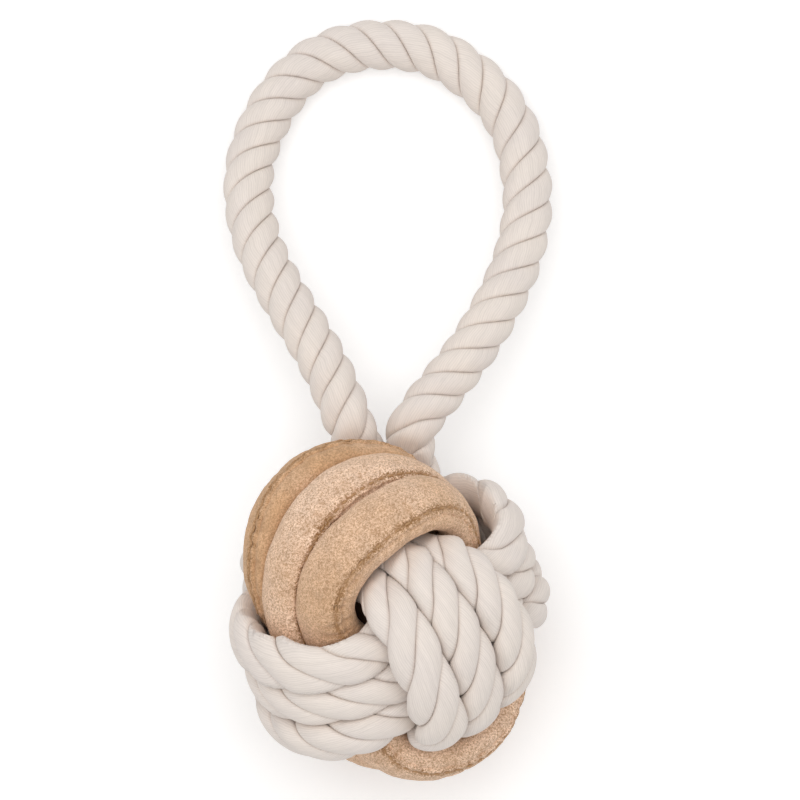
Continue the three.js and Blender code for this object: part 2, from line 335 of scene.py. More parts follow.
whole_front = even_line(np.vstack((handle_line, front_line)), RING_SPACING)
from_pull = (lengths_along(whole_front) - LEG_PULL_PLACE) / LEG_PULL_REACH
whole_front = drawn_in(whole_front, LEG_PULL * np.exp(-(from_pull**2)))
ropes = {
    "front": whole_front,
    "side": even_line(side_line, RING_SPACING),
    "suede": even_line(suede_line, RING_SPACING),
}
rope_lengths = {rope_name: lengths_along(line) for rope_name, line in ropes.items()}
owner = np.repeat(list(ropes), [len(line) for line in ropes.values()])
along_owner = np.concatenate(list(rope_lengths.values()))
all_rope_points = np.vstack(list(ropes.values()))
neighbours = KDTree(len(all_rope_points))
for number, point in enumerate(all_rope_points):
    neighbours.insert(Vector(point), number)
neighbours.balance()
for rope_name, lengths in rope_lengths.items():
    print(rope_name, "rope:", round(lengths[-1] / MM), "mm long")

# %% [markdown]
# Where ropes are wound tight they press one another flat. To get that look, each point of a rope's
# skin may go out only as far as the plane half way to any neighbouring rope. The padded suede is the
# stiffer one, so against bare rope its plane is pushed a little further out. A rope's own stretch
# close by isn't a neighbour, but its next turn is.

# %% The room round a rope
OWN_STRETCH = 24 * MM
SEARCH_REACH = 20 * MM
SUEDE_PUSH = 2.8 * MM
FACING_LEAST = 1e-9


def room(rope_name, length, centre, directions, clearance):
    """How far each direction from a rope's centre is free, up to half way to its neighbours."""
    suede_here = rope_name == "suede"
    near = neighbours.find_range(Vector(centre), SEARCH_REACH)
    found = np.array([number for _, number, _ in near])
    own = (owner[found] == rope_name) & (np.abs(along_owner[found] - length) < OWN_STRETCH)
    gaps = all_rope_points[found[~own]] - centre
    if not len(gaps):
        return np.full(len(directions), SEARCH_REACH)
    facing = directions @ gaps.T
    apart = np.linalg.norm(gaps, axis=1)
    suede_there = owner[found[~own]] == "suede"
    push = SUEDE_PUSH * (float(suede_here) - suede_there)
    half = apart * (apart / 2 + push)
    free = np.where(facing > 0, half / np.maximum(facing, FACING_LEAST), SEARCH_REACH)
    return np.minimum(free.min(axis=1), SEARCH_REACH) - clearance


straight_up = np.array(((0.0, 0.0, 1.0),))
top_room = room("side", 0, ropes["side"][0], straight_up, 0)[0]
print("above the side rope's tucked end there are", round(top_room / MM, 1), "mm of room")

# %% [markdown]
# A tube needs two directions square to its line at every ring. Directions that are carried along
# without twist let the strands turn evenly. The way out of the ball is kept as well, because a rope
# in the knot is flattened between its inside and its outside.

# %% Frames along a line: one that doesn't twist, and the way out of the ball
def turned_frames(line):
    """Tangents and two square directions, carried along the line without twist."""
    tangents = np.gradient(line, axis=0)
    tangents /= np.linalg.norm(tangents, axis=1)[:, None]
    side = np.cross(tangents[0], (0, 0, 1))
    firsts = [side / np.linalg.norm(side)]
    for tangent in tangents[1:]:
        side = firsts[-1] - tangent * (firsts[-1] @ tangent)
        firsts.append(side / np.linalg.norm(side))
    firsts = np.array(firsts)
    return tangents, firsts, np.cross(tangents, firsts)


def square_to(tangents, wishes):
    square = wishes - tangents * (wishes * tangents).sum(axis=1)[:, None]
    return square / np.linalg.norm(square, axis=1)[:, None]


frames = {rope_name: turned_frames(line) for rope_name, line in ropes.items()}
out_ways = {}
for rope_name, line in ropes.items():
    out_ways[rope_name] = square_to(frames[rope_name][0], line - BALL_CENTRE)
print("frames along", len(frames), "ropes")

# %% [markdown]
# ## Three-strand rope
# Real rope of this kind is three strands laid round one another to the right, and each strand is a
# bundle of yarns twisted the other way, so that the yarns show as fine lines along the rope. The
# outline of a cut through it is three overlapping circles. That outline is carried along the
# middle line and turned as it goes. The map coordinates follow the yarns, for the material.

# %% The outline of a three-strand rope of radius 1
STRANDS = 3
ARC_POINTS = 16
STRAND_SPREAD = 0.36
NOTCH_DEPTH = 0.13
NOTCH_WIDTH = 0.05
GROOVE_WIDTH = 0.13
CROWDING = 0.4
strand_radius = 1 / (1 + STRAND_SPREAD)
strand_offset = 1 - strand_radius
groove_radius = strand_offset / 2 + math.sqrt(strand_radius**2 - 0.75 * strand_offset**2)
groove_x = groove_radius * math.cos(math.pi / STRANDS) - strand_offset
groove_y = groove_radius * math.sin(math.pi / STRANDS)
widest = math.atan2(groove_y, groove_x)

share = np.linspace(-1, 1, ARC_POINTS + 1)
local_angles = widest * ((1 + CROWDING) * share - CROWDING * share**3)
local_x = strand_offset + strand_radius * np.cos(local_angles)
local_y = strand_radius * np.sin(local_angles)
arc_angle = np.arctan2(local_y, local_x)[:-1]
arc_radius = np.hypot(local_x, local_y)[:-1]
outline_angle = np.concatenate([arc_angle + k * FULL_TURN / STRANDS for k in range(STRANDS)])
from_groove = math.pi / STRANDS - np.abs(np.tile(arc_angle, STRANDS))
outline_radius = np.tile(arc_radius, STRANDS) - NOTCH_DEPTH * np.exp(-from_groove / NOTCH_WIDTH)
outline_groove = np.exp(-from_groove / GROOVE_WIDTH)
print("a ring has", len(outline_angle), "points; the grooves go in to", round(groove_radius, 2))

# %% [markdown]
# A rope's skin is a tube: rings of points with faces between them. Modelling it by hand would mean
# pushing thousands of points against the neighbours, so the mesh is made from the points directly.
# Where a rope is pressed, its radius goes over gently into the free room, without a hard edge.

# %% A closed tube from rings of points
SOFTNESS = 14
LEAST_ROOM = 1 * MM
FLOOR_LIFT = 0.02 * MM


def pressed(wanted, free):
    """The wanted radius, held back gently where the free room is less."""
    free = np.maximum(free, LEAST_ROOM)
    return (wanted**-SOFTNESS + free**-SOFTNESS) ** (-1 / SOFTNESS)


def tube_faces(rings, count):
    ring, k = np.meshgrid(np.arange(rings - 1), np.arange(count), indexing="ij")
    after = (k + 1) % count
    low, high = ring * count, (ring + 1) * count
    return np.stack((low + k, low + after, high + after, high + k), axis=-1).reshape(-1, 4)


def new_piece(name, points, quads, caps=()):
    mesh = bpy.data.meshes.new(name)
    mesh.from_pydata([tuple(p) for p in points], [], [tuple(map(int, f)) for f in quads] + list(caps))
    piece = bpy.data.objects.new(name, mesh)
    bpy.context.scene.collection.objects.link(piece)
    return piece


def finish_shape(piece, sharp_angle=math.radians(50)):
    bpy.ops.object.select_all(action="DESELECT")
    piece.select_set(True)
    bpy.context.view_layer.objects.active = piece
    bpy.ops.object.shade_smooth_by_angle(angle=sharp_angle)
    triangles = sum(len(face.vertices) - 2 for face in piece.data.polygons)
    print(piece.name, "has", triangles, "triangles")


print("a radius of 7 mm in 6 mm of room:", round(pressed(7 * MM, 6 * MM) / MM, 1), "mm")

# %% [markdown]
# The strands don't turn quite evenly, and in a knot they are squeezed longer or shorter. So each
# rope has a few places, in mm along it, where a groove lies uppermost, as seen in the picture.
# Between two such places the strands turn evenly.

# %% How the strands turn along each rope
LOOP_LAY = 25.5 * MM
WOUND_LAY = 36.5 * MM
LEG_BLEND = 40 * MM
THIRD = FULL_TURN / STRANDS
KNOT_START = HANDLE_ROPE
FRONT_GROOVES = (
    (38.5, 79.5, 131, 181.5, 234, 286, 311, 348.5, 360, 371, 384, 439, 456.5, 471)
    + (608.5, 671.5, 687.5, 816, 834, 900.5, 914)
)
SIDE_GROOVES = (
    (127.5, 141.5, 157, 177, 359.5, 369, 381, 394.5, 410.5)
    + (597, 607.5, 618.5, 632.5)
)


def near_knot(length):
    """From 0 on the loop to 1 where the rope goes into the knot."""
    return smoothstep(length, KNOT_START - LEG_BLEND, KNOT_START)


def strand_turn(rope_name, lays, grooves=()):
    """The angle of the strands at each ring, corrected to meet the given grooves."""
    lengths = rope_lengths[rope_name]
    tangents, firsts, seconds = frames[rope_name]
    turn = np.cumsum(FULL_TURN * np.diff(lengths, prepend=0) / lays)
    if not grooves:
        return turn
    ups = square_to(tangents, np.array((0, 0, 1)))
    shifts = []
    for groove in grooves:
        i = np.searchsorted(lengths, groove * MM)
        uppermost = math.atan2(ups[i] @ seconds[i], ups[i] @ firsts[i]) - THIRD / 2
        miss = uppermost - turn[i]
        shifts.append(miss - THIRD * round((miss - (shifts or [miss])[-1]) / THIRD))
    return turn + np.interp(lengths, np.array(grooves) * MM, shifts)


front_lays = LOOP_LAY + (WOUND_LAY - LOOP_LAY) * near_knot(rope_lengths["front"])
twists = {
    "front": strand_turn("front", front_lays, FRONT_GROOVES),
    "side": strand_turn("side", WOUND_LAY, SIDE_GROOVES),
    "suede": strand_turn("suede", LOOP_LAY),
}
for rope_name, twist in twists.items():
    print(rope_name, "rope: its strands turn", round(twist[-1] / FULL_TURN, 1), "times")

# %% [markdown]
# A length of rope is made ring by ring. The three-strand outline is turned by the strands' angle
# and stretched to the rope's width and depth, and then each point is held back where a neighbour or
# the table is in its way.

# %% The skin of a length of rope
def rope_skin(rope_name, chosen, widths, depths, plump, clearance):
    """A plump of more than 1 makes the valleys between the strands deeper."""
    line, lengths = ropes[rope_name], rope_lengths[rope_name]
    tangents, firsts, seconds = frames[rope_name]
    outs = out_ways[rope_name]
    rings_of_points = []
    for i in chosen:
        angles = outline_angle + twists[rope_name][i]
        ways = np.outer(np.cos(angles), firsts[i]) + np.outer(np.sin(angles), seconds[i])
        depth_share = ways @ outs[i] / (depths(lengths[i]) / 2)
        width_share = ways @ np.cross(outs[i], tangents[i]) / (widths(lengths[i]) / 2)
        wanted = outline_radius**plump / np.hypot(depth_share, width_share)
        free = room(rope_name, lengths[i], line[i], ways, clearance)
        rings_of_points.append(line[i] + ways * pressed(wanted, free)[:, None])
    points = np.vstack(rings_of_points)
    points[:, 2] = np.maximum(points[:, 2], FLOOR_LIFT)
    return points


print("a ring every", RING_SPACING / MM, "mm")

# %% [markdown]
# Each side face gets map coordinates in mm: across the yarns and along the rope. A yarn keeps its
# place on its strand while the strand turns, so the turn is added to the first of them. The three
# strands get places far apart on the map, so that their yarns differ.

# %% The map of the yarns
STRAND_STEP = 100


def yarn_map(rope_name, chosen):
    twist, lengths = twists[rope_name], rope_lengths[rope_name]
    count = len(outline_angle)
    arc_start = np.tile(local_angles[:-1], STRANDS)
    arc_end = np.tile(local_angles[1:], STRANDS)
    strand = np.repeat(np.arange(STRANDS), ARC_POINTS)
    ring_index = np.repeat(np.arange(len(chosen) - 1), count)
    edge = np.tile(np.arange(count), len(chosen) - 1)
    places = np.zeros((len(ring_index), 4, 2))
    corners = ((0, arc_start), (0, arc_end), (1, arc_end), (1, arc_start))
    for corner, (ring_step, local) in enumerate(corners):
        ring = chosen[ring_index + ring_step]
        round_rope = ROPE / 2 / MM * (strand_radius * local[edge] + twist[ring])
        places[:, corner, 0] = round_rope + STRAND_STEP * strand[edge]
        places[:, corner, 1] = lengths[ring] / MM
    return places.ravel()


print("on the map the strands lie", STRAND_STEP, "mm apart")

# %% [markdown]
# The skin and the map come together in one piece, closed by a flat cap at each end. The piece also
# keeps how near each point is to a groove, for the shade of the material.

# %% Make a length of rope
def rope_piece(name, rope_name, start, end, widths, depths, plump=1.0, clearance=0.01 * MM):
    lengths = rope_lengths[rope_name]
    chosen = np.flatnonzero((lengths >= start) & (lengths <= end))
    points = rope_skin(rope_name, chosen, widths, depths, plump, clearance)
    count = len(outline_angle)
    last = (len(chosen) - 1) * count
    caps = [tuple(range(count - 1, -1, -1)), tuple(range(last, last + count))]
    piece = new_piece(name, points, tube_faces(len(chosen), count), caps)
    places = yarn_map(rope_name, chosen)
    all_places = np.zeros(len(piece.data.loops) * 2)
    all_places[: len(places)] = places
    piece.data.uv_layers.new(name="yarns").data.foreach_set("uv", all_places)
    groove = piece.data.attributes.new("groove", "FLOAT", "POINT")
    groove.data.foreach_set("value", np.tile(outline_groove, len(chosen)))
    finish_shape(piece)
    return piece


def all_along(size):
    return lambda length: size


print("a rope piece of 100 mm has", round(100 * MM / RING_SPACING), "rings")

# %% [markdown]
# ## The handle and its two legs
# The free rope is round. Towards the knot it is hauled tight and a little flattened. It is one
# piece with both legs, because it is one rope, and the legs bend where it joins the ball.

# %% Make the handle
LOOP_THICKNESS = 14.6 * MM
WOUND_WIDTH = 17 * MM
WOUND_DEPTH = 11.4 * MM


def handle_width(length):
    return LOOP_THICKNESS + (WOUND_WIDTH - LOOP_THICKNESS) * near_knot(length)


def handle_depth(length):
    return LOOP_THICKNESS + (WOUND_DEPTH - LOOP_THICKNESS) * near_knot(length)


handle = rope_piece("loop_handle", "front", 0, KNOT_START, handle_width, handle_depth)

# %% [markdown]
# ## The two bare bands
# In the knot the rope is wider than it is thick, until it meets the next turn. Its strands bulge
# between deeper valleys, because it is bent sharply. The front rope spreads most at the two places
# where it lies beside the suede with nothing on its other side.

# %% Make the front and the side band
WOUND_PLUMP = 1.4
WIDE_PLACES = (370 * MM, 464 * MM)
WIDE_REACH = 18 * MM
WIDER = 4.5 * MM


def front_width(length):
    near = sum(math.exp(-(((length - place) / WIDE_REACH) ** 2)) for place in WIDE_PLACES)
    return WOUND_WIDTH + WIDER * near


wound_depth = all_along(WOUND_DEPTH)
front_start, front_end = KNOT_START + TOUCH_GAP, rope_lengths["front"][-1]
front = rope_piece(
    "front_rope", "front", front_start, front_end, front_width, wound_depth, WOUND_PLUMP
)
side_end = rope_lengths["side"][-1]
side = rope_piece(
    "side_rope", "side", 0, side_end, all_along(WOUND_WIDTH), wound_depth, WOUND_PLUMP
)

# %% [markdown]
# ## The suede sleeve
# The third band is a cord sewn into a sleeve of suede. Each turn is a padded tube, wide enough to
# lean on its neighbours. A line of stitches pulls the leather down into a groove, and the leather
# puckers and creases on both sides of it.

# %% Where the sleeve runs and where its seam lies
SUEDE_WIDTH = 18.5 * MM
SUEDE_WALL = 1.2 * MM
SLEEVE_RING_SPACING = 0.5 * MM
SLEEVE_POINTS = 60
BORE_POINTS = 12
STITCH_PITCH = 3 * MM
SEAM_ANGLES = (1.0, 1.2, 0.35)
SEAM_SHIFT = (0.2, 0.8)
CROWDING_SHARE = 0.55


def seam_angle(share):
    """How far round from the outside each turn's seam lies, with a slow change between them."""
    turn = np.clip(share * TURNS - 0.5, 0, TURNS - 1)
    low = np.minimum(np.floor(turn), TURNS - 2).astype(int)
    blend = smoothstep(turn - low, *SEAM_SHIFT)
    angles = np.array(SEAM_ANGLES)
    return angles[low] + (angles[low + 1] - angles[low]) * blend


fine_suede = even_line(suede_line, SLEEVE_RING_SPACING)
suede_lengths = lengths_along(fine_suede)
suede_tangents = turned_frames(fine_suede)[0]
suede_outs = square_to(suede_tangents, fine_suede - BALL_CENTRE)
suede_sides = np.cross(suede_outs, suede_tangents)
seams = seam_angle(suede_lengths / suede_lengths[-1])
suede_depths = np.interp(turns_along(fine_suede), form_turns, form_depths) * MM
even = np.linspace(-math.pi, math.pi, SLEEVE_POINTS, endpoint=False)
round_angle = even - CROWDING_SHARE * np.sin(even)
print("the sleeve has", len(fine_suede), "rings")

# %% [markdown]
# The seam is a lap: one edge of the leather lies over the other, so there is a groove at the
# stitches, a raised lap beside it, and a hollow under the lap's wavy edge. Each stitch draws in a
# pucker. Smooth noise adds the padding's lumps and the short creases that run off the seam.

# %% Seam groove, puckers and creases
SEAM_DEPTH = 0.5 * MM
SEAM_REACH = 0.5 * MM
LAP = 1.5 * MM
LAP_HEIGHT = 0.5 * MM
LAP_SLOPE = 2.5 * MM
EDGE_WAVE = 0.5 * MM
EDGE_WAVE_LENGTH = 2.5 * MM
EDGE_REACH = 0.5 * MM
HOLLOW_DEPTH = 0.4 * MM
HOLLOW_PLACE = 0.6 * MM
PUCKER_DEPTH = 0.3 * MM
PUCKER_REACH = 2.2 * MM
BROAD_LUMPS = (0.3 * MM, 7 * MM)
ROUGH_LUMPS = (0.07 * MM, 1.6 * MM)
CREASE_SIZE = 2.2 * MM
CREASE_REACH = 5.5 * MM
CREASE_STRETCH = 0.35
CREASE_LAYER = 3 * MM


def lump(point, size):
    return noise.noise(Vector(point) / size)


def seam_height(distance, length):
    """How far the skin stands out of the padded tube, from its distance to the seam."""
    stitch = 0.5 + 0.5 * np.cos(FULL_TURN * length / STITCH_PITCH)
    groove = -SEAM_DEPTH * np.exp(-((distance / SEAM_REACH) ** 2))
    edge = LAP + EDGE_WAVE * lump((length, 0, 0), EDGE_WAVE_LENGTH)
    lap = smoothstep(distance, -LAP_SLOPE, 0) - smoothstep(distance, edge, edge + EDGE_REACH)
    hollow = -HOLLOW_DEPTH * np.exp(-(((distance - edge - HOLLOW_PLACE) / EDGE_REACH) ** 2))
    pucker = -PUCKER_DEPTH * stitch * np.exp(-((distance / PUCKER_REACH) ** 2))
    return groove + LAP_HEIGHT * lap + hollow + pucker


def lumps(points):
    kinds = (BROAD_LUMPS, ROUGH_LUMPS)
    return sum(height * np.array([lump(point, size) for point in points]) for height, size in kinds)


def creases(distance, length):
    """Short creases that run across next to the seam, as shares from 0 to 1."""
    fine = [lump((length, CREASE_STRETCH * d, CREASE_LAYER), CREASE_SIZE) for d in distance]
    near = np.exp(-((distance / CREASE_REACH) ** 2))
    return near * smoothstep(fine, 0.05, 0.5)


print("the first stitch's pucker goes in by", round(-seam_height(0, 0) / MM, 1), "mm")

# %% [markdown]
# The sleeve is made ring by ring like the ropes, with a second, smaller tube inside for the
# leather's back. The points crowd where the seam runs. What the material must know about each
# point is written down on the way.

# %% Make the sleeve
CREASE_DEPTH = 0.5 * MM
SKIN_GAP = 0.05 * MM
PINCH_FULL = 2 * MM
BORE_STEP = SLEEVE_POINTS // BORE_POINTS
AT_SEAM = SLEEVE_POINTS // 2
skin_points, skin_distance, skin_pinch_shade, skin_crease = [], [], [], []
seam_line, seam_ways = [], []
for i, length in enumerate(suede_lengths):
    angles = round_angle + seams[i]
    ways = np.outer(-np.sin(angles), suede_sides[i]) + np.outer(np.cos(angles), suede_outs[i])
    depth_share = ways @ suede_outs[i] / (suede_depths[i] / 2)
    width_share = ways @ suede_sides[i] / (SUEDE_WIDTH / 2)
    wanted = 1 / np.hypot(depth_share, width_share)
    free = room("suede", length, fine_suede[i], ways, SKIN_GAP)
    radius = pressed(wanted, free)
    distance = round_angle * radius
    # How hard the leather is pinched between turns, which sets painted shade in the material.
    skin_pinch_shade.append(np.clip((wanted - radius) / PINCH_FULL, 0, 1))
    crease = creases(distance, length)
    radius = radius + lumps(fine_suede[i] + ways * radius[:, None]) - CREASE_DEPTH * crease
    radius = radius + seam_height(distance, length)
    skin_crease.append(crease)
    bore = radius[::BORE_STEP] - SUEDE_WALL
    skin_points.append(fine_suede[i] + ways * radius[:, None])
    skin_points.append(fine_suede[i] + ways[::BORE_STEP] * bore[:, None])
    skin_distance.append(distance)
    seam_ways.append(ways[AT_SEAM])
    seam_line.append(fine_suede[i] + ways[AT_SEAM] * radius[AT_SEAM])
skin = np.vstack(skin_points)
skin[:, 2] = np.maximum(skin[:, 2], FLOOR_LIFT)
per_ring = SLEEVE_POINTS + BORE_POINTS
rings = len(suede_lengths)
print("the sleeve has", len(skin), "points")

# %% [markdown]
# The outside and the bore are joined by faces of their own, the bore's turned the other way, so that
# both look out of the leather. A rim at each end closes the wall between them.

# %% Join the rings of the sleeve


def layered_faces(first, count, inward):
    ring, k = np.meshgrid(np.arange(rings - 1), np.arange(count), indexing="ij")
    after = (k + 1) % count
    low, high = ring * per_ring + first, (ring + 1) * per_ring + first
    corners = (low + k, low + after, high + after, high + k)
    return np.stack(corners[::-1] if inward else corners, axis=-1).reshape(-1, 4)


def end_faces(ring, inward):
    """The flat rim between the skin and the bore at one end of the sleeve."""
    start = ring * per_ring
    faces = []
    for k in range(BORE_POINTS):
        outer = [start + (k * BORE_STEP + j) % SLEEVE_POINTS for j in range(BORE_STEP + 1)]
        inner = [start + SLEEVE_POINTS + (k + 1) % BORE_POINTS, start + SLEEVE_POINTS + k]
        face = outer + inner
        faces.append(tuple(face if inward else face[::-1]))
    return faces


outside = layered_faces(0, SLEEVE_POINTS, False)
inside = layered_faces(SLEEVE_POINTS, BORE_POINTS, True)
rims = end_faces(0, False) + end_faces(rings - 1, True)
sleeve = new_piece("suede_cover", skin, np.vstack((outside, inside)), rims)
print("the sleeve has", len(outside), "faces outside and", len(inside), "inside")

# %% [markdown]
# The material needs to know how far each point is from the seam, how hard it is pinched between turns
# and whether it lies in a crease, both for painted shade, and which way its nap was brushed, for the
# nap's painted sheen. The sheen is painted pink and light one way, and tan and dark the other.

# %% What the sleeve's material needs to know
# Places in turns along the band, and how far the nap's painted sheen goes from tan to pink there.
NAP_SHEEN_SHARES = (
    ((0.0, 0.85), (0.15, 1.0), (0.35, 0.7), (0.55, 0.35), (0.75, 0.6))
    + ((1.3, 0.7), (1.6, 0.75), (1.75, 1.0), (2.3, 0.5), (2.75, 0.05))
)
NAP_SPREAD = 0.4
NAP_PATCH = 14 * MM


def with_bore(rows, bore_value):
    return np.column_stack((np.array(rows), np.full((rings, BORE_POINTS), bore_value))).ravel()


distance_mm = with_bore(skin_distance, 0.0) / MM
# The share of the nap's painted sheen at each ring, with patches of noise for each point.
nap_sheen = np.interp(turns_along(fine_suede), *zip(*NAP_SHEEN_SHARES))
patches = np.array([lump(point, NAP_PATCH) for point in skin])
values_of = {
    "seam_distance": distance_mm,
    "pinch_shade": with_bore(skin_pinch_shade, 1.0),
    "crease": with_bore(skin_crease, 1.0),
    "nap_sheen": np.repeat(nap_sheen, per_ring) + NAP_SPREAD * patches,
}
for name, values in values_of.items():
    attribute = sleeve.data.attributes.new(name, "FLOAT", "POINT")
    attribute.data.foreach_set("value", values)
along_mm = np.repeat(suede_lengths / MM, per_ring)
corner_points = np.zeros(len(sleeve.data.loops), dtype=np.int32)
sleeve.data.loops.foreach_get("vertex_index", corner_points)
leather_map = np.column_stack((distance_mm[corner_points], along_mm[corner_points]))
sleeve.data.uv_layers.new(name="leather").data.foreach_set("uv", leather_map.ravel())
finish_shape(sleeve, math.radians(80))

# %% [markdown]
# ## Stitches
# Each stitch is a short loop of thick thread, of which only the part on top shows. A small sphere
# that is stretched along the seam is enough for that. It is modelled once and copied, and each copy
# lies a little sunk in the seam's groove, square to the leather there.

# %% Model one stitch
STITCH_LENGTH = 2.1 * MM
STITCH_RADIUS = 0.36 * MM
bpy.ops.object.select_all(action="DESELECT")
bpy.ops.mesh.primitive_uv_sphere_add(segments=8, ring_count=6, radius=1)
stitch = bpy.context.object
stitch.scale = (STITCH_RADIUS, STITCH_RADIUS, STITCH_LENGTH / 2)
bpy.ops.object.transform_apply(location=False, rotation=False, scale=True)
stitch_points = np.array([vertex.co for vertex in stitch.data.vertices])
stitch_faces = [list(face.vertices) for face in stitch.data.polygons]
bpy.data.objects.remove(stitch)
print("one stitch has", len(stitch_faces), "faces")

# %% [markdown]
# The copies go into one piece. Each is turned so that its length follows the seam and its top looks
# straight out of the leather.

# %% Copy it along the seam
STITCH_SINK = 0.3 * MM
STITCH_RINGS = round(STITCH_PITCH / SLEEVE_RING_SPACING)
HALF_STITCH_RINGS = round(STITCH_LENGTH / SLEEVE_RING_SPACING / 2)
all_points, all_faces = [], []
for i in range(STITCH_RINGS, rings - STITCH_RINGS, STITCH_RINGS):
    before, after = seam_line[i - HALF_STITCH_RINGS], seam_line[i + HALF_STITCH_RINGS]
    along = (after - before) / np.linalg.norm(after - before)
    across = np.cross(seam_ways[i], along)
    across /= np.linalg.norm(across)
    up = np.cross(along, across)
    centre = (before + after) / 2 + up * (STITCH_RADIUS - STITCH_SINK)
    first = len(all_points) * len(stitch_points)
    all_points.append(centre + stitch_points @ np.array((across, up, along)))
    all_faces += [tuple(first + corner for corner in face) for face in stitch_faces]
print("stitches:", len(all_points))
stitches = new_piece("seam_stitches", np.vstack(all_points), [], all_faces)
finish_shape(stitches)

# %% [markdown]
# ## The filler cord
# Something soft has to fill the sleeve. A thinner rope of the same kind is the cheapest filling, so
# it is made with the same function, with more clearance to stay inside the leather's bore.

# %% Make the filler cord
FILLER_WIDTH = 8 * MM
FILLER_DEPTH = 5.6 * MM
FILLER_CLEARANCE = 3.2 * MM
FILLER_SETBACK = 2 * MM
filler_end = suede_lengths[-1] - FILLER_SETBACK
filler = rope_piece(
    "filler_cord",
    "suede",
    FILLER_SETBACK,
    filler_end,
    all_along(FILLER_WIDTH),
    all_along(FILLER_DEPTH),
    clearance=FILLER_CLEARANCE,
)

# %% [markdown]
# ## The rubber core
# The knot is tied round a ball, which shows only through the gap between the bands. It would be a
# rubber ball from a two-part mould, so a thin ring is joined to the sphere for the fine ridge that
# such a mould leaves.

# %% Make the core
CORE_RADIUS = 15.7 * MM
RIDGE_RADIUS = 0.35 * MM
RIDGE_TURN = (0.6, 0.4, 0)
ROUND_SEGMENTS = 64
bpy.ops.object.select_all(action="DESELECT")
bpy.ops.mesh.primitive_uv_sphere_add(
    segments=ROUND_SEGMENTS, ring_count=40, radius=CORE_RADIUS, location=BALL_CENTRE
)
core = bpy.context.object
core.name = "rubber_core"
bpy.ops.mesh.primitive_torus_add(
    major_radius=CORE_RADIUS,
    minor_radius=RIDGE_RADIUS,
    major_segments=ROUND_SEGMENTS,
    minor_segments=6,
    location=BALL_CENTRE,
    rotation=RIDGE_TURN,
)
ridge = bpy.context.object
bpy.ops.object.select_all(action="DESELECT")
core.select_set(True)
ridge.select_set(True)
bpy.context.view_layer.objects.active = core
bpy.ops.object.join()
bpy.ops.object.transform_apply(location=True, rotation=True, scale=True)
finish_shape(core)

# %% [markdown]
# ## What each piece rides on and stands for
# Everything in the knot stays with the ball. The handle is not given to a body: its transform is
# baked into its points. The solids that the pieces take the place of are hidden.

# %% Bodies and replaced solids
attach(front, "ball")
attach(side, "ball")
for piece in (sleeve, stitches, filler, core):
    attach(piece, "ball")
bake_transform(handle)
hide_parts("handle_loop", "left_handle_neck", "right_handle_neck")
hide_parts("front_rope_winding")
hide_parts("side_rope_winding")
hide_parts("suede_sleeve")
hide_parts("sleeve_seam_thread")
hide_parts("sleeve_filler_cord")
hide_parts("core_ball")

# %% [markdown]
# ## Materials
# Almost everything here is matt and fibrous. The materials are built from nodes, so that no picture
# is needed. Two small effects serve several materials and are kept as node groups: fibres that run
# along a map coordinate, and a tint that drifts slowly over the surface.


# %% Helpers for nodes
def add_node(tree, kind, values=None, **settings):
    made = tree.nodes.new(kind)
    for key, value in settings.items():
        setattr(made, key, value)
    for key, value in (values or {}).items():
        made.inputs[key].default_value = value
    return made


def link(tree, start, end):
    tree.links.new(start, end)


def set_or_link(tree, socket, value):
    if isinstance(value, bpy.types.NodeSocket):
        link(tree, value, socket)
    else:
        socket.default_value = value


def new_group(name, sockets_in, sockets_out):
    """A node group with sockets given as (name, socket type, value)."""
    group = bpy.data.node_groups.new(name, "ShaderNodeTree")
    for socket_name, kind, value in sockets_in:
        socket = group.interface.new_socket(socket_name, in_out="INPUT", socket_type=kind)
        if value is not None:
            socket.default_value = value
    for socket_name, kind in sockets_out:
        group.interface.new_socket(socket_name, in_out="OUTPUT", socket_type=kind)
    return group, add_node(group, "NodeGroupInput"), add_node(group, "NodeGroupOutput")


def new_material(name):
    material = bpy.data.materials.new(name)
    material.use_nodes = True
    return material, material.node_tree, material.node_tree.nodes["Principled BSDF"]


print("the packed model brings", len(bpy.data.materials), "materials")

# %% [markdown]
# Most of the materials are made of the same few steps: read an attribute, make noise, map one range
# of values to another, do a sum, mix two colours, or make a colour darker or lighter. Each of them
# becomes a short function, so that a material reads like a recipe.


# %% Steps that come again and again
def attribute_of(tree, name):
    return add_node(tree, "ShaderNodeAttribute", attribute_name=name).outputs["Fac"]


def noise_at(tree, place, settings):
    made = add_node(tree, "ShaderNodeTexNoise", settings)
    link(tree, place, made.inputs["Vector"])
    return made.outputs["Fac"]


def ranged(tree, value, old, new, interpolation="LINEAR"):
    """Maps values from the old range to the new one and stops at its ends."""
    limits = {"From Min": old[0], "From Max": old[1], "To Min": new[0], "To Max": new[1]}
    made = add_node(tree, "ShaderNodeMapRange", limits, interpolation_type=interpolation)
    link(tree, value, made.inputs["Value"])
    return made.outputs[0]


def calculated(tree, operation, *values):
    made = add_node(tree, "ShaderNodeMath", operation=operation)
    for socket, value in zip(made.inputs, values):
        set_or_link(tree, socket, value)
    return made.outputs[0]


def mixed(tree, share, first, second):
    made = add_node(tree, "ShaderNodeMix", data_type="RGBA")
    for key, value in (("Factor", share), ("A", first), ("B", second)):
        set_or_link(tree, made.inputs[key], value)
    return made.outputs["Result"]


def tinted(tree, colour, *factors):
    """A colour made darker or lighter by each factor in turn."""
    for factor in factors:
        made = add_node(tree, "ShaderNodeVectorMath", operation="SCALE")
        link(tree, colour, made.inputs[0])
        set_or_link(tree, made.inputs["Scale"], factor)
        colour = made.outputs[0]
    return colour


